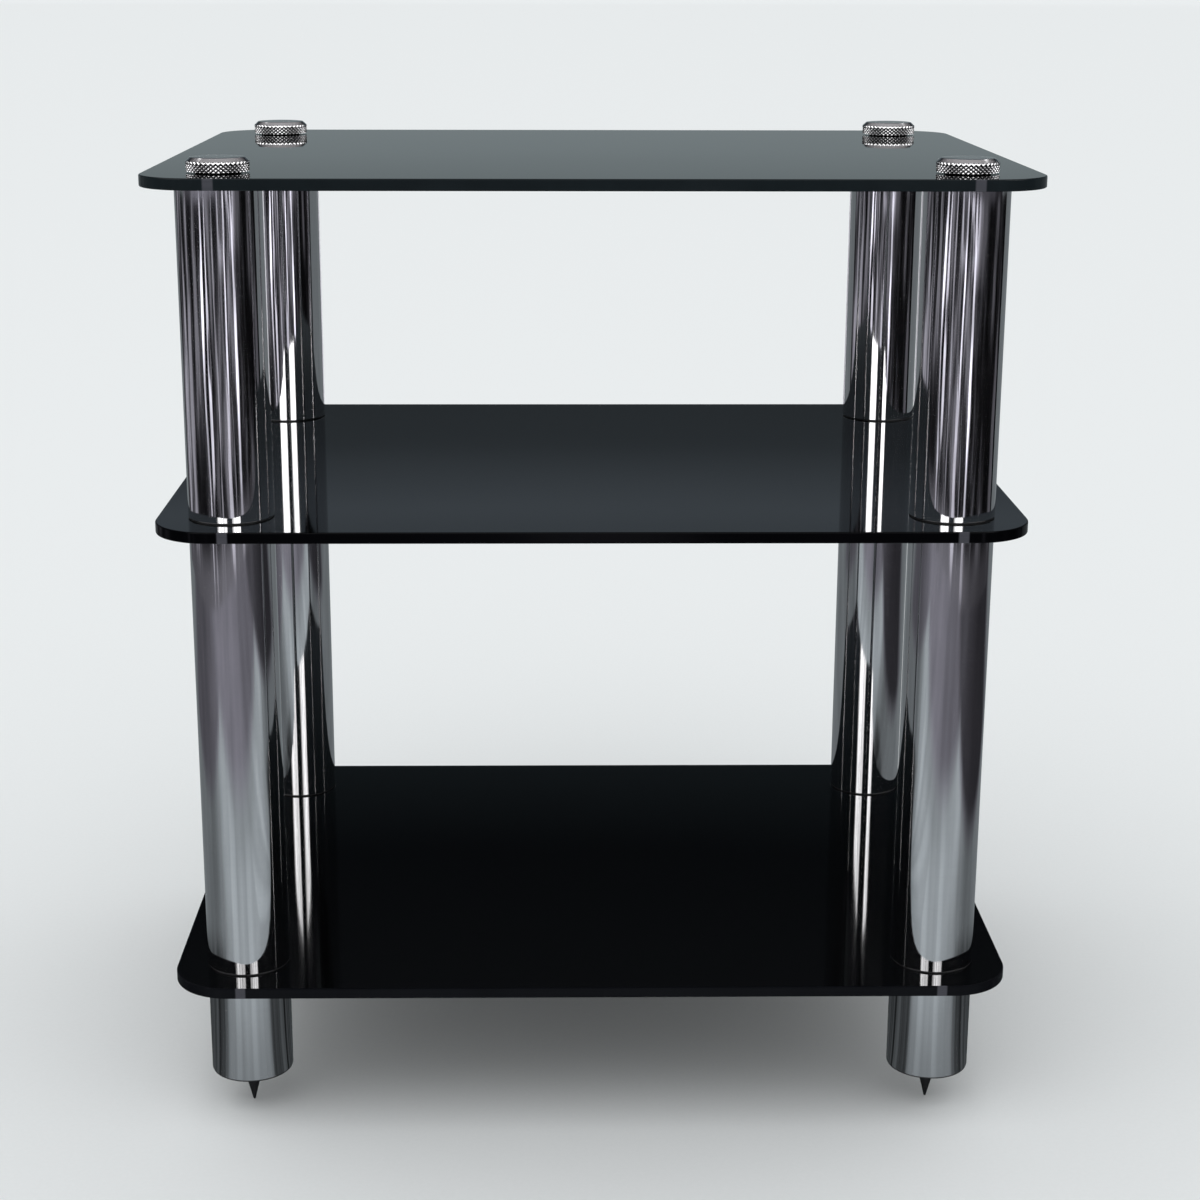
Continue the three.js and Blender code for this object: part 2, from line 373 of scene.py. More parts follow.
def write_tube_chrome(sheet):
    waves = sheet.noise(55, 7, detail=1)
    hairs = sheet.noise(750, 6, detail=3)
    haze = sheet.noise(30, 5, detail=4)
    scuffs = sheet.noise(45, 900, detail=3)
    plating = sheet.blend(haze, (0.505, 0.50, 0.51), (0.56, 0.555, 0.565))
    mirror = sheet.node("ShaderNodeBsdfPrincipled", sockets={
        "Base Color": plating,
        "Metallic": 1.0,
        "Roughness": 0.02 + haze * 0.04 + hairs * 0.04,
        "Normal": sheet.bump(waves + hairs * 0.10, 0.00016),
    })
    satin = sheet.node("ShaderNodeBsdfPrincipled", sockets={
        "Base Color": plating,
        "Metallic": 1.0,
        "Roughness": 0.34,
        "Anisotropic": 0.95,
        "Anisotropic Rotation": 0.25,
    })
    share = 0.006 + sheet.ramp(scuffs, (0.48, 0.0), (0.75, 1.0)) * 0.045
    return sheet.node("ShaderNodeMixShader", sockets={0: share, 1: mirror, 2: satin})


def write_knurl_chrome(sheet):
    """Painted shade: dark towards the axis, in the grooves of the knurl. The caps mirror each other, so
    one axis serves all four.
    """
    plating = sheet.noise(1500, 1500, detail=3)
    haze = sheet.noise(160, 160, detail=2)
    across, depth, _ = sheet.axes()
    axis = centre_of("tie_rod_rear_right")[0]
    radius = (abs(across) - axis[0]).length(abs(depth) - axis[1])
    # Painted shade: the colour goes dark in the grooves of the knurl, where little light gets.
    groove_painted_shade = sheet.step_up(radius, *GROOVE_RADII, GROOVE_SHADE)
    crests = sheet.blend(haze, (0.80, 0.795, 0.80), (0.92, 0.915, 0.92))
    return {
        "Base Color": sheet.blend(groove_painted_shade, crests, (0.045, 0.045, 0.05)),
        "Metallic": 1.0,
        "Roughness": 0.28 + plating * 0.06,
        "Normal": sheet.bump(plating, 0.00002),
    }


def worn_finish(name, patches, grain, depth, colours, roughness, metallic=0.0):
    """A plain finish whose patches vary its colour and gloss, and whose grain bends its normal.

    Patches and grain are noise, given by how fine it is across and along, and by its detail.
    """

    def write(sheet):
        wear = sheet.noise(*patches)
        return {
            "Base Color": sheet.blend(wear, *colours),
            "Metallic": metallic,
            "Roughness": roughness[0] + wear * roughness[1],
            "Normal": sheet.bump(sheet.noise(*grain), depth),
        }

    return finish_of(name, write)


tube_chrome = finish_of("polished_chrome_tube", write_tube_chrome)
knurl_chrome = finish_of("knurled_rim_chrome", write_knurl_chrome)
turned_chrome = worn_finish(
    "turned_chrome", patches=(120, 120, 3), grain=(900, 900, 3), depth=0.00001,
    colours=((0.72, 0.715, 0.72), (0.80, 0.80, 0.805)), roughness=(0.10, 0.10), metallic=1.0,
)

# %% [markdown]
# ## Plastic, rubber and steel
#
# Small parts close the columns: moulded plugs between tube and glass, rubber washers under the
# caps, zinc-plated rods and nuts, and blackened steel spikes. Each is a plain colour in life only
# from far away. Close up, moulded plastic has a fine orange-peel skin, rubber is dusty and dull,
# zinc plating is cloudy, and a turned spike has rings from the tool.

# %% The finishes of the small parts
plug_plastic = worn_finish(
    "moulded_black_plastic", patches=(220, 220, 3), grain=(1400, 1400, 2), depth=0.00003,
    colours=((0.006, 0.006, 0.007), (0.016, 0.016, 0.017)), roughness=(0.38, 0.25),
)
washer_rubber = worn_finish(
    "dusty_rubber", patches=(500, 500, 4), grain=(500, 500, 4), depth=0.00005,
    colours=((0.008, 0.008, 0.008), (0.022, 0.022, 0.022)), roughness=(0.62, 0.3),
)
zinc_steel = worn_finish(
    "zinc_plated_steel", patches=(300, 300, 4), grain=(1800, 500, 2), depth=0.00002,
    colours=((0.50, 0.51, 0.52), (0.72, 0.72, 0.72)), roughness=(0.22, 0.22), metallic=1.0,
)
spike_steel = worn_finish(
    "blackened_steel", patches=(420, 420, 4), grain=(12, 3200, 1), depth=0.00004,
    colours=((0.010, 0.010, 0.012), (0.035, 0.034, 0.036)), roughness=(0.28, 0.2), metallic=0.6,
)

# %% [markdown]
# ## Turned pieces
#
# Tubes, plugs, washers, spikes and caps are all made on a lathe or drawn round, so one helper turns
# a profile of radii and heights about a column's axis. Each profile is a closed loop, or starts and
# ends on the axis. A sharp edge is never quite sharp on a real part, so a second helper breaks the
# corners of a profile by a small radius before it is turned.

# %% Helpers for turned pieces
ROUND_STEPS = 96


def softened(profile, radius, steps=3):
    """The closed profile with each of its corners rounded."""
    spots = [Vector(spot) for spot in profile]
    softer = []
    for before, corner, after in zip(spots[-1:] + spots, spots, spots[1:] + spots[:1]):
        start = corner + (before - corner).normalized() * radius
        end = corner + (after - corner).normalized() * radius
        for step in range(steps + 1):
            share = step / steps
            inward = start.lerp(corner, share).lerp(corner.lerp(end, share), share)
            softer.append(tuple(inward))
    return softer


def circle_outline(axis, radius, steps):
    """The points of a circle, anticlockwise."""
    angles = [2 * math.pi * step / steps for step in range(steps)]
    return [(axis[0] + radius * math.cos(a), axis[1] + radius * math.sin(a)) for a in angles]


def mesh_of(name, bm):
    """A mesh of what was built, which is then let go."""
    mesh = bpy.data.meshes.new(name)
    bm.to_mesh(mesh)
    bm.free()
    return mesh


def lofted_mesh(name, rings, steps, closed=True):
    """A mesh of rings of points, each joined to the next, where a ring of one point is a pole."""
    bm = bmesh.new()
    rows = []
    for ring in rings:
        row = [bm.verts.new(spot) for spot in ring]
        rows.append(row * (steps // len(row)))
    pairs = list(zip(rows, rows[1:]))
    if closed:
        pairs.append((rows[-1], rows[0]))
    for low, high in pairs:
        for step in range(steps):
            after = (step + 1) % steps
            corners = dict.fromkeys((low[step], low[after], high[after], high[step]))
            if len(corners) > 2:
                bm.faces.new(corners)
    return mesh_of(name, bm)


def turned_mesh(name, profile, axis, steps=ROUND_STEPS, closed=True):
    """A mesh turned from a profile of (radius, height), rising on its outer side."""
    rings = []
    for radius, height in profile:
        around = circle_outline(axis, radius, steps if radius else 1)
        rings.append([(x, y, height) for x, y in around])
    return lofted_mesh(name, rings, steps, closed)


def piece(name, mesh, finishes, body, slot, *nodes, crease=8):
    """A finished piece: smooth but for its creases, riding on a body in place of CAD nodes."""
    for finish in finishes:
        mesh.materials.append(finish)
    mesh.shade_smooth()
    mesh.set_sharp_from_angle(angle=math.radians(crease))
    made = placed(name, mesh)
    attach(made, body)
    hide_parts(*nodes)
    return made


# %% [markdown]
# ## The glass shelves
#
# Each shelf is one sheet with rounded corners, a hole on each column's axis and a fine arris, the
# narrow slope that is ground on every edge of cut glass. That slope catches the light as a thin
# bright line, so it is worth real faces. A flat curve with the holes as inner loops is extruded and
# bevelled, and then made a mesh: that gives flat faces, true arcs and the arris in one go. The
# faces that aren't level get the finish of the polished edge.

# %% Cut the shelves
CORNER_RADIUS = 42 * MM
ARRIS = 0.8 * MM
GLASS_HOLE_RADIUS = 5 * MM
CORNERS = ("front_left", "front_right", "rear_left", "rear_right")
CORNER_STEPS = 20
HOLE_STEPS = 40


def rounded_outline(low, high, radius):
    """The points of a rectangle with rounded corners, anticlockwise."""
    points = []
    turns = (
        (high.x - radius, low.y + radius, -90),
        (high.x - radius, high.y - radius, 0),
        (low.x + radius, high.y - radius, 90),
        (low.x + radius, low.y + radius, 180),
    )
    for x, y, first in turns:
        for step in range(CORNER_STEPS + 1):
            angle = math.radians(first + 90 * step / CORNER_STEPS)
            points.append((x + radius * math.cos(angle), y + radius * math.sin(angle)))
    return points


def shelf_mesh(node):
    """A sheet of glass in the box of a CAD shelf."""
    low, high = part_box(node)
    curve = bpy.data.curves.new(node + "_outline", "CURVE")
    curve.dimensions = "2D"
    curve.fill_mode = "BOTH"
    curve.extrude = (high.z - low.z) / 2 - ARRIS
    curve.bevel_depth = ARRIS
    curve.bevel_resolution = 1
    curve.offset = -ARRIS
    loops = [rounded_outline(low, high, CORNER_RADIUS)]
    for corner in CORNERS:
        axis, _, _ = centre_of("tie_rod_" + corner)
        loops.append(circle_outline(axis, GLASS_HOLE_RADIUS, HOLE_STEPS))
    for loop in loops:
        spline = curve.splines.new("POLY")
        spline.points.add(len(loop) - 1)
        for point, (x, y) in zip(spline.points, loop):
            point.co = (x, y, 0, 1)
        spline.use_cyclic_u = True
    holder = bpy.data.objects.new(curve.name, curve)
    mesh = bpy.data.meshes.new_from_object(holder)
    bpy.data.objects.remove(holder)
    mesh.transform(Matrix.Translation((0, 0, (low.z + high.z) / 2)))
    return mesh


def tidy_sheet(mesh):
    """Joins the sheet's loose edges, turns its faces out and marks which faces are edge."""
    bm = bmesh.new()
    bm.from_mesh(mesh)
    bmesh.ops.remove_doubles(bm, verts=bm.verts, dist=0.00001)
    bmesh.ops.recalc_face_normals(bm, faces=bm.faces)
    for face in bm.faces:
        face.material_index = 0 if abs(face.normal.z) > 0.99 else 1
    bm.to_mesh(mesh)
    bm.free()


for level in ("bottom", "middle", "top"):
    sheet_of_glass = shelf_mesh("shelf_" + level)
    tidy_sheet(sheet_of_glass)
    shelf = piece(
        "glass_shelf_" + level, sheet_of_glass, (glass_face, glass_edge),
        "rack", "smoked_glass", "shelf_" + level,
    )
    print(shelf.name, "size in mm:", [round(value / MM, 1) for value in shelf.dimensions])

# %% [markdown]
# ## The tube columns
#
# Each column is three lengths of 60 mm tube with the glass between them. They are plain turned
# pieces, but their ends are cut square and deburred, so the profile's corners are broken by a
# quarter of a millimetre. The dark seam under and over each tube is the flange of a moulded plug. A
# plug keeps the bare end of the tube off the glass, and centres the tube on the rod.

# %% Turn the tubes and plugs
TUBE_RADIUS = 30 * MM
TUBE_WALL = 1.5 * MM
TUBE_DEBURR = 0.25 * MM
FLANGE_RADIUS = 29.6 * MM
FLANGE_THICKNESS = 1 * MM
SPIGOT_RADIUS = 27.95 * MM
SPIGOT_WALL = 2 * MM
BORE_RADIUS = 3.4 * MM
MOULD_RADIUS = 0.15 * MM


def tube_profile(low, high):
    """The section of a tube's wall."""
    inner = TUBE_RADIUS - TUBE_WALL
    corners = ((inner, low), (TUBE_RADIUS, low), (TUBE_RADIUS, high), (inner, high))
    return softened(corners, TUBE_DEBURR)


def plug_profile(glass, far):
    """The section of a plug that lies on the glass and points into its tube, as a cup."""
    way = math.copysign(1, far - glass)
    flange = glass + way * FLANGE_THICKNESS
    inside = flange + way * FLANGE_THICKNESS
    sleeve_end = far - way * FLANGE_THICKNESS
    inner = SPIGOT_RADIUS - SPIGOT_WALL
    sleeve = BORE_RADIUS + SPIGOT_WALL
    corners = [
        (BORE_RADIUS, glass), (FLANGE_RADIUS, glass), (FLANGE_RADIUS, flange),
        (SPIGOT_RADIUS, flange), (SPIGOT_RADIUS, far), (inner, far), (inner, inside),
        (sleeve, inside), (sleeve, sleeve_end), (BORE_RADIUS, sleeve_end),
    ]
    if way < 0:
        corners.reverse()
    return softened(corners, MOULD_RADIUS, steps=2)


for corner in CORNERS:
    for stage in ("leg", "lower", "upper"):
        node = f"{stage}_tube_{corner}"
        axis, low, high = centre_of(node)
        mesh = turned_mesh(node, tube_profile(low, high), axis)
        piece(f"chrome_{node}", mesh, (tube_chrome,), "rack", "chrome_tube", node)
        for end in ("bottom", "top"):
            node = f"{stage}_plug_{end}_{corner}"
            axis, low, high = centre_of(node)
            glass, far = (low, high) if end == "bottom" else (high, low)
            mesh = turned_mesh(node, plug_profile(glass, far), axis, steps=64)
            piece(f"moulded_{node}", mesh, (plug_plastic,), "rack", "black_plastic", node)
print("tubes: 12, plugs: 24")

# %% [markdown]
# ## The knurled caps
#
# The caps are the nuts that close the columns, and a diamond knurl on the rim gives the fingers
# their grip. A knurling tool presses two sets of slanting grooves into the rim. Where the grooves
# cross is a hollow, and between them stand four-sided points. On a grid of points round the rim,
# that is a chessboard: every second point stays and the others go in. So the blank is turned with
# one point of the grid for each, and a tree of Geometry Nodes presses the hollows in. The number of
# diamonds, the depth and the rows are inputs of the tree, and one tree serves all four caps. Where
# the rim meets the sloping top, the hollows also rise, because that slope is cut after the knurl.

# %% Build the tree that presses the knurl
KNURL_DIAMONDS = 40
KNURL_HALF_ROWS = 5
KNURL_DEPTH = 0.8 * MM
CAP_CHAMFER_HEIGHT = 2.8 * MM
CAP_CHAMFER_WIDTH = 3 * MM
CAP_UNDER_CHAMFER = 0.3 * MM
CAP_EDGE_ROUND = 0.2 * MM
CAP_BORE_DEPTH = 6.5 * MM
CAP_TURNED_NORMAL = 0.55


class Graph(Sheet):
    """A tree of Geometry Nodes, written with the same sums."""

    def __init__(self, name, inputs):
        super().__init__(bpy.data.node_groups.new(name, "GeometryNodeTree"))
        for title, kind in inputs.items():
            self.tree.interface.new_socket(title, in_out="INPUT", socket_type="NodeSocket" + kind)
        self.entry = self.tree.nodes.new("NodeGroupInput")

    def value(self, name):
        """The input of the tree that has this name."""
        return Wire(self, self.entry.outputs[name])

    def finish(self, geometry, material):
        """Ends the tree in real geometry with a finish on it."""
        self.tree.interface.new_socket("Geometry", in_out="OUTPUT", socket_type="NodeSocketGeometry")
        real = self.node("GeometryNodeRealizeInstances", sockets={0: geometry})
        dressed = self.node("GeometryNodeSetMaterial", sockets={0: real, "Material": material})
        self.node("NodeGroupOutput", sockets={0: dressed})
        return self.tree


def knurl_tree():
    """The tree that presses a diamond knurl into the rim of a turned blank."""
    graph = Graph("diamond_knurl", {
        "Blank": "Geometry", "Axis": "Vector", "Rim Radius": "Float", "Rim Bottom": "Float",
        "Row Height": "Float", "Depth": "Float", "Slope Rise": "Float", "Diamonds": "Int",
        "Half Rows": "Int",
    })
    place = graph.vector("SUBTRACT", graph.node("GeometryNodeInputPosition"), graph.value("Axis"))
    across, depth, height = graph.parts(place)
    turn = graph.math("ARCTAN2", depth, across) / (2 * math.pi)
    step = graph.math("ROUND", turn * (graph.value("Diamonds") * 2))
    row = graph.math("ROUND", (height - graph.value("Rim Bottom")) / graph.value("Row Height"))
    hollow = graph.math("FLOORED_MODULO", step + row, 2)
    on_rim = graph.math("GREATER_THAN", across.length(depth), graph.value("Rim Radius") * 0.999)
    pressed = hollow * on_rim
    flat = graph.node("ShaderNodeCombineXYZ", sockets={0: across, 1: depth})
    outward = graph.node("ShaderNodeVectorMath", {"operation": "NORMALIZE"}, {0: flat})
    push = graph.scaled(outward, -(pressed * graph.value("Depth")))
    last_row = graph.math("COMPARE", row, graph.value("Half Rows"))
    rise = pressed * last_row * graph.value("Slope Rise")
    lift = graph.node("ShaderNodeCombineXYZ", sockets={"Z": rise})
    moved = graph.node("GeometryNodeSetPosition", sockets={
        "Geometry": graph.value("Blank"), "Offset": graph.vector("ADD", push, lift),
    })
    folded = graph.node("GeometryNodeTriangulate", sockets={"Mesh": moved})
    return graph.finish(folded, knurl_chrome)


diamond_knurl = knurl_tree()
print("knurl tree:", len(diamond_knurl.nodes), "nodes")

# %% [markdown]
# A tree gets its sizes through the inputs of a modifier, which are set by the socket's identifier
# before the piece is first evaluated. The result is then taken as a plain mesh, and the modifier
# goes away with its holder.

# %% Shape a blank with a tree
def shaped(name, blank, tree, values):
    """The plain mesh that a tree makes of a blank with these values of its inputs."""
    holder = placed(name + "_holder", blank)
    modifier = holder.modifiers.new("shape", "NODES")
    modifier.node_group = tree
    for item in tree.interface.items_tree:
        if item.name in values:
            modifier[item.identifier] = values[item.name]
    graph = bpy.context.evaluated_depsgraph_get()
    mesh = bpy.data.meshes.new_from_object(holder.evaluated_get(graph))
    holder.modifiers.remove(modifier)
    bpy.data.objects.remove(holder)
    mesh.name = name
    return mesh


# %% Make the caps
def cap_blank(name, axis, low, high, radius):
    """The turned blank of a cap, with one ring of points for each half row of its knurl."""
    rim_top = high - CAP_CHAMFER_HEIGHT
    rows = [low + (rim_top - low) * row / KNURL_HALF_ROWS for row in range(KNURL_HALF_ROWS + 1)]
    rim = [(radius, level) for level in rows]
    top = radius - CAP_CHAMFER_WIDTH
    soften = CAP_EDGE_ROUND
    bore_top = low + CAP_BORE_DEPTH
    profile = [
        (0, bore_top), (BORE_RADIUS, bore_top), (BORE_RADIUS, low),
        (radius - KNURL_DEPTH - CAP_UNDER_CHAMFER, low),
        *rim,
        (top + soften, high - soften),
        (top + soften * 0.3, high - soften * 0.2),
        (top - soften, high), (top * 0.6, high), (0, high),
    ]
    return turned_mesh(name, profile, axis, steps=2 * KNURL_DIAMONDS, closed=False)


for corner in CORNERS:
    node = "cap_" + corner
    axis, low, high = centre_of(node)
    radius = reach(node, 0)
    row_height = (high - low - CAP_CHAMFER_HEIGHT) / KNURL_HALF_ROWS
    blank = cap_blank(node + "_blank", axis, low, high, radius)
    mesh = shaped(node, blank, diamond_knurl, {
        "Axis": (*axis, 0),
        "Rim Radius": radius,
        "Rim Bottom": low,
        "Row Height": row_height,
        "Depth": KNURL_DEPTH,
        "Slope Rise": KNURL_DEPTH * CAP_CHAMFER_HEIGHT / CAP_CHAMFER_WIDTH,
        "Diamonds": KNURL_DIAMONDS,
        "Half Rows": KNURL_HALF_ROWS,
    })
    cap = piece("knurled_" + node, mesh, (turned_chrome,), node, "knurled_chrome", node, crease=20)
    for face in mesh.polygons:
        face.material_index = 1 if abs(face.normal.z) > CAP_TURNED_NORMAL else 0
print("cap size in mm:", [round(value / MM, 2) for value in cap.dimensions])

# %% [markdown]
# ## Washers, rods and nuts
#
# A thin rubber washer holds each cap clear of the glass. It shows as the dark gap under the knurl. A
# steel rod runs down each column from the cap to the spike. Only its ends ever come into sight, when
# a cap is unscrewed or a spike is let down, so only they get a thread. A thread is a ridge that
# follows a helix, so Geometry Nodes sweeps the ridge's section along a spiral.

# %% Turn the washers
WASHER_ROUND = 0.3 * MM

for corner in CORNERS:
    node = "cap_washer_" + corner
    axis, low, high = centre_of(node)
    radius = reach(node, 0)
    corners = ((BORE_RADIUS, low), (radius, low), (radius, high), (BORE_RADIUS, high))
    mesh = turned_mesh(node, softened(corners, WASHER_ROUND), axis, steps=64)
    body = "cap_lifter_" + corner
    piece("rubber_" + node, mesh, (washer_rubber,), body, "black_rubber", node)
print("washers: 4")

# %% Build the tree that cuts a thread
THREAD_PITCH = 1 * MM
THREAD_LENGTH = 20 * MM
THREAD_DEPTH = 0.5 * MM
THREAD_RUN_OUT = 1.5
THREAD_STARTS = (0.8 * MM, 0.7 * MM)
ROD_CHAMFER = 0.4 * MM


def thread_tree():
    """The tree that lays a thread on both ends of a rod: a square bar, half sunk in it, on a spiral."""
    graph = Graph("threaded_end", {
        "Rod": "Geometry", "Core Radius": "Float", "Depth": "Float", "Pitch": "Float", "Turns": "Float",
        "Low End": "Vector", "High End": "Vector",
    })
    core = graph.value("Core Radius")
    turns = graph.value("Turns")
    spiral = graph.node("GeometryNodeCurveSpiral", sockets={
        "Resolution": 24, "Rotations": turns, "Start Radius": core, "End Radius": core,
        "Height": graph.value("Pitch") * turns,
    })
    upright = graph.node("GeometryNodeSetCurveNormal", {"mode": "Z_UP"}, {"Curve": spiral})
    ridge = graph.node("GeometryNodeCurvePrimitiveCircle", sockets={
        "Resolution": 4, "Radius": graph.value("Depth"),
    })
    swept = graph.node("GeometryNodeCurveToMesh", sockets={
        "Curve": upright, "Profile Curve": ridge, "Fill Caps": True,
    })
    joined = graph.node("GeometryNodeJoinGeometry", sockets={0: graph.value("Rod")})
    for end in ("Low End", "High End"):
        sockets = {"Geometry": swept, "Translation": graph.value(end)}
        moved = graph.node("GeometryNodeTransform", sockets=sockets)
        graph.tree.links.new(moved.socket, joined.socket.node.inputs[0])
    return graph.finish(joined, zinc_steel)


threaded_end = thread_tree()

# %% Make the rods and the lock nuts
NUT_CHAMFER = 0.58
NUT_FACE = 0.97
NUT_STEPS = 72


def rod_blank(name, axis, low, high, radius):
    """A plain rod whose ends are turned down to the root of the thread."""
    root = radius - THREAD_DEPTH
    end = ROD_CHAMFER
    profile = [
        (0, low), (root - end, low), (root, low + end), (root, low + THREAD_LENGTH),
        (radius, low + THREAD_LENGTH + end), (radius, high - THREAD_LENGTH - end),
        (root, high - THREAD_LENGTH), (root, high - end), (root - end, high), (0, high),
    ]
    return turned_mesh(name, profile, axis, steps=32, closed=False)


def nut_mesh(name, axis, low, high, flat):
    """A hexagon nut: where its chamfer cuts the six flats, it leaves the usual arcs.

    Flat is how far each of the six is from the axis.
    """
    slope = (flat / math.cos(math.pi / 6) - flat) * NUT_CHAMFER
    levels = [low, low + slope * 0.5, low + slope, high - slope, high - slope * 0.5, high]
    rings = [[(*spot, low) for spot in circle_outline(axis, BORE_RADIUS, NUT_STEPS)]]
    for level in levels:
        cone = flat * NUT_FACE + min(level - low, high - level) / NUT_CHAMFER
        ring = []
        for step in range(NUT_STEPS):
            angle = 2 * math.pi * step / NUT_STEPS
            across = (angle % (math.pi / 3)) - math.pi / 6
            radius = min(flat / math.cos(across), cone)
            ring.append((axis[0] + radius * math.cos(angle), axis[1] + radius * math.sin(angle), level))
        rings.append(ring)
    rings.append([(*spot, high) for spot in circle_outline(axis, BORE_RADIUS, NUT_STEPS)])
    return lofted_mesh(name, rings, NUT_STEPS)


for corner in CORNERS:
    node = "tie_rod_" + corner
    axis, low, high = centre_of(node)
    radius = reach(node, 1)
    blank = rod_blank(node + "_blank", axis, low, high, radius)
    turns = THREAD_LENGTH / THREAD_PITCH - THREAD_RUN_OUT
    mesh = shaped(node, blank, threaded_end, {
        "Core Radius": radius - THREAD_DEPTH,
        "Depth": THREAD_DEPTH * 0.98,
        "Pitch": THREAD_PITCH,
        "Turns": turns,
        "Low End": (*axis, low + THREAD_STARTS[0]),
        "High End": (*axis, high - THREAD_LENGTH + THREAD_STARTS[1]),
    })
    rod = piece("steel_" + node, mesh, (), "rack", "zinc_steel", node)
    node = "lock_nut_" + corner
    axis, low, high = centre_of(node)
    mesh = nut_mesh(node, axis, low, high, min(reach(node, 0), reach(node, 1)))
    piece("steel_" + node, mesh, (zinc_steel,), "rack", "zinc_steel", node)
print("rod size in mm:", [round(value / MM, 2) for value in rod.dimensions])

# %% [markdown]
# ## The spikes
#
# A conical spike screws on the lower end of each rod and carries the rack on a point. It is turned
# from black steel: a short collar with a broken edge, a cone, and a tip that is blunt enough not to
# chip. The blind hole takes the rod.

# %% Turn the spikes
SPIKE_TIP_RADIUS = 0.8 * MM
SPIKE_COLLAR = 2 * MM
SPIKE_EDGE = 0.35 * MM


def spike_profile(low, high, radius, bore_bottom):
    """The section of a spike from its tip up to its collar and down its hole."""
    collar = high - SPIKE_COLLAR
    bore = BORE_RADIUS - 0.05 * MM
    tip = SPIKE_TIP_RADIUS
    return [
        (0, low),
        (tip * 0.5, low + tip * 0.08),
        (tip * 0.85, low + tip * 0.4),
        (tip + 0.12 * MM, low + tip),
        (radius - SPIKE_EDGE, collar - SPIKE_EDGE),
        (radius, collar), (radius, high - SPIKE_EDGE), (radius - SPIKE_EDGE, high),
        (bore, high), (bore, bore_bottom), (0, bore_bottom),
    ]


for corner in CORNERS:
    node = "spike_" + corner
    axis, low, high = centre_of(node)
    radius = reach(node, 1)
    bore_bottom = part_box("tie_rod_" + corner)[0].z - 0.5 * MM
    profile = spike_profile(low, high, radius, bore_bottom)
    mesh = turned_mesh(node, profile, axis, steps=64, closed=False)
    piece("steel_" + node, mesh, (spike_steel,), node, "black_steel", node)
print("spikes: 4")

# %% [markdown]
# ## The room and the floor
#
# The rack stands on a pale, matt floor in a pale room. The floor reaches so far that a camera from
# any side sees only floor and room behind the rack. The room itself gives most of the light, from
# every side, and a broad lamp above adds a soft shadow. Together they bring a matt surface to about
# the colour that its material says.

# %% Paint the room and lay the floor
ROOM_COLOUR = (0.88, 0.90, 0.905, 1)
FLOOR_RADIUS = 90

world = bpy.data.worlds.new("pale_room")
world.use_nodes = True
bpy.context.scene.world = world
room = Sheet(world.node_tree)
wall = room.node("ShaderNodeBackground", sockets={"Color": ROOM_COLOUR})
room.node("ShaderNodeOutputWorld", sockets={"Surface": wall})


def write_floor(sheet):
    fibres = sheet.noise(300, 300, detail=3)
    return {
        "Base Color": sheet.blend(fibres, (0.80, 0.815, 0.82), (0.84, 0.85, 0.855)),
        "Roughness": 0.9,
        "Specular IOR Level": 0.1,
    }


floor_mesh = turned_mesh("floor", ((FLOOR_RADIUS, 0), (3, 0), (0, 0)), (0, 0), closed=False)
floor_mesh.materials.append(finish_of("pale_floor", write_floor))
floor = placed("floor", floor_mesh)
print("floor faces up:", floor_mesh.polygons[0].normal.z > 0)

# %% [markdown]
# ## What the chrome and the glass reflect
#
# Chrome and black glass have no look of their own: they show what stands round them. A photographer
# of such things hangs dark cloths, cards and strips of light round them, just outside the picture.
# Here these are pieces of stage that only reflections show, so they neither light nor shade the
# object. Five things are needed. A mat on the floor is pale in front and dim at the sides and
# behind, and gives the feet of the columns their grey-green. A ring of folded dark cloth with
# strips of light gives the long streaks, and a smaller one stands behind the rack. Two soft boxes
# low behind the camera make the white patches at the feet of the columns, where the chrome shows
# the glass and the glass shows the boxes. They show only there, or the glass would turn white when
# it is seen from behind. A dome is dark at the level that the lower shelves reflect, paler at the
# level that the top shelf reflects, and bright above the front, for the knurls. The light of each
# is written as a sum over the place on it.

# %% A card that only reflections show
def reflected(name, mesh, write):
    """A piece of stage that shows only in reflections.

    write() gives its light, and how much of it is there, where the rest is clear.
    """

    def write_glow(sheet):
        light, share = write(sheet, *sheet.axes())
        glow = sheet.node("ShaderNodeEmission", sockets={"Color": light})
        clear = sheet.node("ShaderNodeBsdfTransparent")
        return sheet.node("ShaderNodeMixShader", sockets={0: share, 1: clear, 2: glow})

    material = finish_of(name, write_glow)
    material.cycles.emission_sampling = "NONE"
    mesh.materials.append(material)
    card = placed(name, mesh)
    card.visible_camera = False
    card.visible_diffuse = False
    card.visible_shadow = False
    card.visible_transmission = False


# %% Lay the mat
MAT_LIFT = 0.5 * MM
DOME_RADIUS = 60
MAT_COLOUR = (0.91, 1.01, 1.06)
MAT_SHARE = ((0.0, 0.24), (0.2, 0.20), (0.34, 0.22), (0.50, 0.38), (0.58, 0.51), (0.68, 0.60),
             (0.86, 0.58), (1.0, 0.48))
MAT_MIDDLE_HALF_WIDTH = 0.25
FOOT_COLOUR = (1.0, 0.985, 1.15)
FOOT_SHARE = ((0.0, 0.12), (0.5, 0.18), (0.90, 0.29), (1.0, 0.32))
FOOT_DIMMER_PARTS = ((-0.15, 0.25, 0.32), (0.72, 0.95, 0.38))
CLOTH_MIDDLE = -0.065
CLOTH_HALF_WIDTH = 0.895
CLOTH_FRONT = 0.86
LEG_SHADE_REACH = (0.38, 0.27)
STREAK_REACH = (0.85, 0.45)
STREAKS = ((18, 8), (-24.5, 8.5))
STREAK_SIDE = (10, 3)


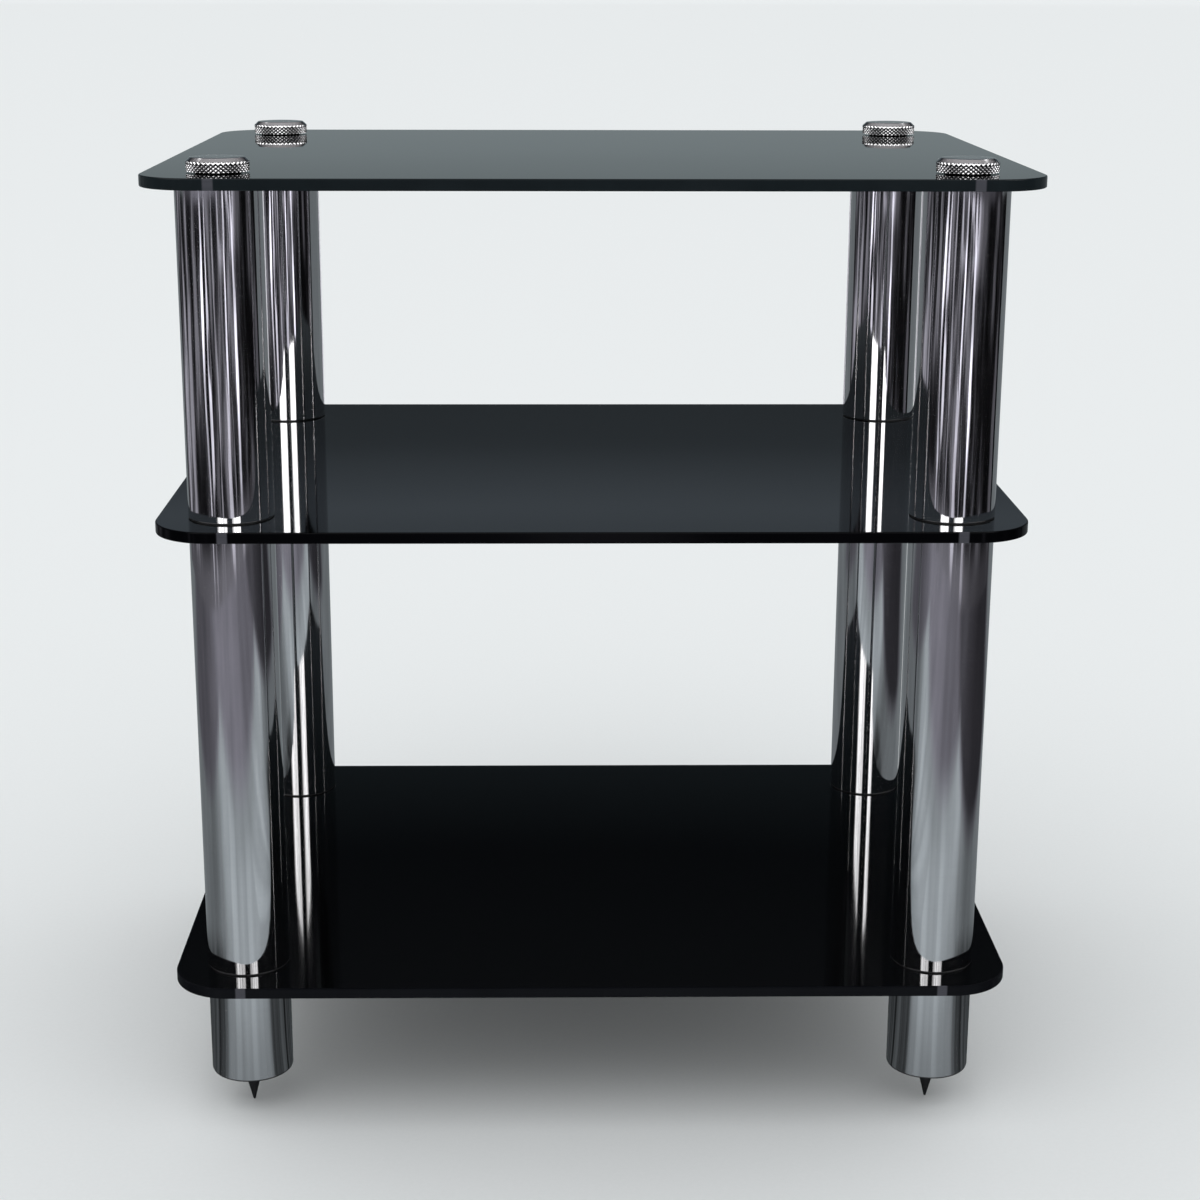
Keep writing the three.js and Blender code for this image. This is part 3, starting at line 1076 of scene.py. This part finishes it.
def light_round_leg(sheet, across, depth):
    """The mat's shade beside and behind the nearer leg, the rays from that leg and the streaks."""
    leg = centre_of("leg_tube_front_right")[0]
    beside = abs(across) - leg[0]
    beyond = depth - leg[1]
    from_leg = beside.length(beyond)
    shade = sheet.step_up(abs(beside) / from_leg, 0.76, 0.94).larger(sheet.step_up(beyond, -0.06, 0.04))
    shade = shade * sheet.step_up(from_leg, *LEG_SHADE_REACH)
    fan = beside.degrees(-beyond)
    side = sheet.step_up(across, -0.001, 0.001) * 2 - 1
    streaks = 0.0
    for middle, lean in STREAKS:
        streaks = sheet.step_up(abs(fan - middle + side * lean), *STREAK_SIDE, 0.20) + streaks
    rays = sheet.flat_noise(beside / from_leg * 5, beyond / from_leg * 5, detail=4.0)
    return shade, rays, streaks * sheet.step_up(from_leg, *STREAK_REACH)


def write_mat(sheet, across, depth, height):
    """Grey-green floor, pale in front, and beyond its edges the dim foot of the cloths."""
    aside = (abs(across) - MAT_MIDDLE_HALF_WIDTH).larger(0.0)
    ahead = 0.2 - depth - aside * 0.35
    dimmer = sum(sheet.step_up(across, *part) for part in FOOT_DIMMER_PARTS)
    foot_share = sheet.ramp(ahead, *FOOT_SHARE) * (1 - dimmer)
    shade, rays, streaks = light_round_leg(sheet, across, depth)
    sideways = abs(across - CLOTH_MIDDLE)
    beyond = sheet.step_up(sideways, CLOTH_HALF_WIDTH - 0.07, CLOTH_HALF_WIDTH + 0.10)
    before = sheet.step_up(-depth, CLOTH_FRONT - 0.06, CLOTH_FRONT + 0.18)
    foot = beyond.larger(before) * (1 - sheet.step_up(depth, 0.35, 0.75))
    clouds = sheet.flat_noise(across, depth, scale=3.0)
    tone = 0.60 + clouds * 0.34 + rays * 0.42 + streaks
    tone = tone * (1 - shade * (1.25 - rays * 1.15))
    colour = sheet.blend(foot, MAT_COLOUR, FOOT_COLOUR)
    light = sheet.ramp(ahead, *MAT_SHARE) * (1 - foot) + foot_share * foot
    return sheet.scaled(colour, light * tone), 1.0


mat_mesh = turned_mesh("mat", ((DOME_RADIUS, MAT_LIFT), (0, MAT_LIFT)), (0, 0), closed=False)
reflected("mat", mat_mesh, write_mat)

# %% Stand the ring of cloths
CARD_RADIUS = 1.75
CARD_HEIGHT = 0.54
CARD_ENDS = (-127, 107)
CARD_COLOUR = (1.0, 0.985, 1.12)
CARD_STRIPS = ((-47.3, 1.7, 2.2), (-38.5, 1.2, 1.4), (-18.9, 1.3, 0.6), (2.6, 1.8, 2.6),
               (12.5, 0.8, 0.6), (27.4, 2.4, 2.3))
CARD_FOOT = ((0.15, 0.12), (0.27, 0.14), (0.36, 0.22), (0.46, 0.27), (0.56, 0.25), (0.62, 0.13),
             (0.68, 0.07), (0.80, 0.06))
CARD_CLOTH = ((0.15, 0.12), (0.25, 0.09), (0.33, 0.05), (0.42, 0.055), (0.56, 0.05), (0.62, 0.025),
              (0.80, 0.025))
FOLD_SHADES = ((0.44, 0.0), (0.50, 0.10), (0.56, 0.36), (0.62, 1.0))
FOLD_STRENGTH = 5.4


def strips_of_light(sheet, angle, strips):
    """The brightness of strips, each given by its middle, half its width and its strength."""
    total = 0.0
    for middle, half_width, strength in strips:
        off = abs(angle - middle)
        total = sheet.step_up(off, half_width * 1.3, half_width * 0.7, strength) + total
    return total


def write_cloth(sheet, across, depth, height):
    """Dark folded cloth, smooth and paler at its foot, with strips of light in its upper part."""
    sway = sheet.flat_noise(across, height, scale=2.6, detail=2.0)
    angle = across.degrees(-depth) + (sway - 0.5) * 16
    turn = angle / 360 + 0.5
    tall = height / CARD_HEIGHT
    folds = sheet.flat_noise(angle * 0.055, height * 2.2, detail=6.0, roughness=0.60)
    folds = sheet.ramp(folds, *FOLD_SHADES) * FOLD_STRENGTH
    flicker = sheet.flat_noise(angle * 0.06, height * 7.0)
    flicker = sheet.ramp(flicker, (0.34, 0.35), (0.62, 1.3))
    foot = sheet.step_up(tall, 0.20, 0.06)
    upper = sheet.step_up(tall, -0.10, 0.50) * flicker
    flecks = sheet.step_up(flicker, 0.7, 1.1, 1.5) * sheet.step_up(tall, 0.76, 0.92)
    flecks = flecks * sheet.step_up(abs(angle - 14), 28, 18)
    folded = sheet.ramp(turn, *CARD_CLOTH) * (0.14 + folds) * (1 - foot)
    smooth = sheet.ramp(turn, *CARD_FOOT) * foot * (0.9 + folds * 0.04)
    strips = strips_of_light(sheet, angle, CARD_STRIPS) * upper
    return sheet.scaled(CARD_COLOUR, folded + smooth + flecks + strips), 1.0


def card_mesh(name, radius, height, first, last):
    """A standing strip of a ring, from one angle from the front to another, in degrees."""
    bm = bmesh.new()
    steps = 120
    columns = []
    for step in range(steps + 1):
        angle = math.radians(first + (last - first) * step / steps)
        spot = (radius * math.sin(angle), -radius * math.cos(angle))
        columns.append([bm.verts.new((*spot, level)) for level in (0.0, height)])
    for left, right in zip(columns, columns[1:]):
        bm.faces.new((left[0], right[0], right[1], left[1]))
    return mesh_of(name, bm)


reflected("cloths", card_mesh("cloths", CARD_RADIUS, CARD_HEIGHT, *CARD_ENDS), write_cloth)

# %% Stand the card behind
REAR_RADIUS = 2.5
REAR_HEIGHT = 0.5
REAR_ENDS = (163, 197)
REAR_COLOUR = (1.0, 1.0, 1.08)
REAR_STRIPS = ((-13, 1.4, 1.6), (-5, 0.9, 0.7), (3, 1.2, 1.8), (12, 1.6, 1.5))


def write_rear(sheet, across, depth, height):
    """The same cloth behind the rack, for the sides that the photograph doesn't show."""
    angle = across.degrees(depth)
    folds = sheet.line_noise(angle, 0.16, 5.0, 0.65)
    cloth = sheet.ramp(folds, (0.40, 0.03), (0.50, 0.14), (0.62, 0.45))
    return sheet.scaled(REAR_COLOUR, cloth + strips_of_light(sheet, angle, REAR_STRIPS)), 1.0


reflected("rear_cloth", card_mesh("rear_cloth", REAR_RADIUS, REAR_HEIGHT, *REAR_ENDS), write_rear)

# %% Stand two soft boxes in front
BOX_DEPTH = -2.35
BOX_LEVELS = (0.75, 1.35)
BOX_BRIGHTNESS = 16.0
BOX_SOFT_EDGE = 0.16


def soft_box(name, middle, half_width):
    """An upright rectangle of creased white cloth, lit from behind, that faces the rack."""

    def write(sheet, across, depth, height):
        """White, but only where chrome shows the glass and the glass shows the box."""
        bounces = sheet.node("ShaderNodeLightPath", output="Glossy Depth")
        off = abs(across - middle)
        creases = sheet.line_noise(across, 11.0, 5.0)
        creases = sheet.ramp(creases, (0.36, 0.10), (0.48, 0.40), (0.60, 1.0))
        glow = sheet.step_up(off, half_width, half_width - BOX_SOFT_EDGE, BOX_BRIGHTNESS) * creases
        return glow, sheet.step_up(bounces, 1.4, 1.6)

    low, high = BOX_LEVELS
    left, right = middle - half_width, middle + half_width
    corners = ((right, low), (left, low), (left, high), (right, high))
    mesh = bpy.data.meshes.new(name)
    mesh.from_pydata([(x, BOX_DEPTH, z) for x, z in corners], [], [(0, 1, 2, 3)])
    reflected(name, mesh, write)


soft_box("front_box_left", -0.95, 0.60)
soft_box("front_box_right", 0.60, 0.50)

# %% Close the dome
DOME_STEPS = 24
DOME_SHADES = (
    (0.0, (0.268, 0.305, 0.318)), (0.085, (0.24, 0.282, 0.295)), (0.18, (0.046, 0.055, 0.062)),
    (0.206, (0.060, 0.072, 0.082)), (0.235, (0.135, 0.160, 0.185)), (0.325, (0.034, 0.045, 0.052)),
    (0.37, (0.012, 0.014, 0.017)), (0.425, (0.022, 0.024, 0.028)), (0.70, (0.26, 0.25, 0.26)),
    (1.0, (0.42, 0.41, 0.42)),
)
BAND_LEVELS = ((0.43, 0.52), (0.83, 0.74))
BAND_BRIGHTNESS = 1.7
BAND_SIDE_BRIGHTNESS = 2.6


def write_dome(sheet, across, depth, height):
    """The room by its height, with a bright band above the front, brightest at its sides."""
    level = height / DOME_RADIUS
    ahead = depth / -DOME_RADIUS
    aside = abs(across) / DOME_RADIUS
    band = sheet.step_up(level, *BAND_LEVELS[0]) * sheet.step_up(level, *BAND_LEVELS[1])
    front = BAND_BRIGHTNESS + sheet.step_up(aside, 0.38, 0.58, BAND_SIDE_BRIGHTNESS)
    white = sheet.scaled((1, 1, 1), band * sheet.step_up(ahead, -0.30, -0.10) * front)
    return sheet.vector("ADD", sheet.ramp(level, *DOME_SHADES), white), 1.0


dome_profile = [
    (DOME_RADIUS * math.cos(turn), DOME_RADIUS * math.sin(turn))
    for turn in (math.pi / 2 * step / DOME_STEPS for step in range(DOME_STEPS))
]
dome_mesh = turned_mesh("dome", [*dome_profile, (0, DOME_RADIUS)], (0, 0), closed=False)
reflected("dome", dome_mesh, write_dome)
print("strips of light:", len(CARD_STRIPS) + len(REAR_STRIPS))

# %% [markdown]
# ## The lamp
#
# One broad lamp above gives the soft shadow. It is left out of the reflections, where the dome
# already stands for the ceiling.

# %% Hang the lamp
LAMP_PLACE = Vector((-0.6, -1.0, 3.0))
LAMP_STRENGTH = 0.45
LAMP_SPREAD = math.radians(60)

lamp_data = bpy.data.lights.new("ceiling_light", "SUN")
lamp_data.energy = LAMP_STRENGTH
lamp_data.angle = LAMP_SPREAD
lamp = placed("ceiling_light", lamp_data)
lamp.location = LAMP_PLACE
lamp.rotation_euler = (-LAMP_PLACE).to_track_quat("-Z", "Y").to_euler()
lamp.visible_camera = False
lamp.visible_glossy = False
print("lamps: 1")
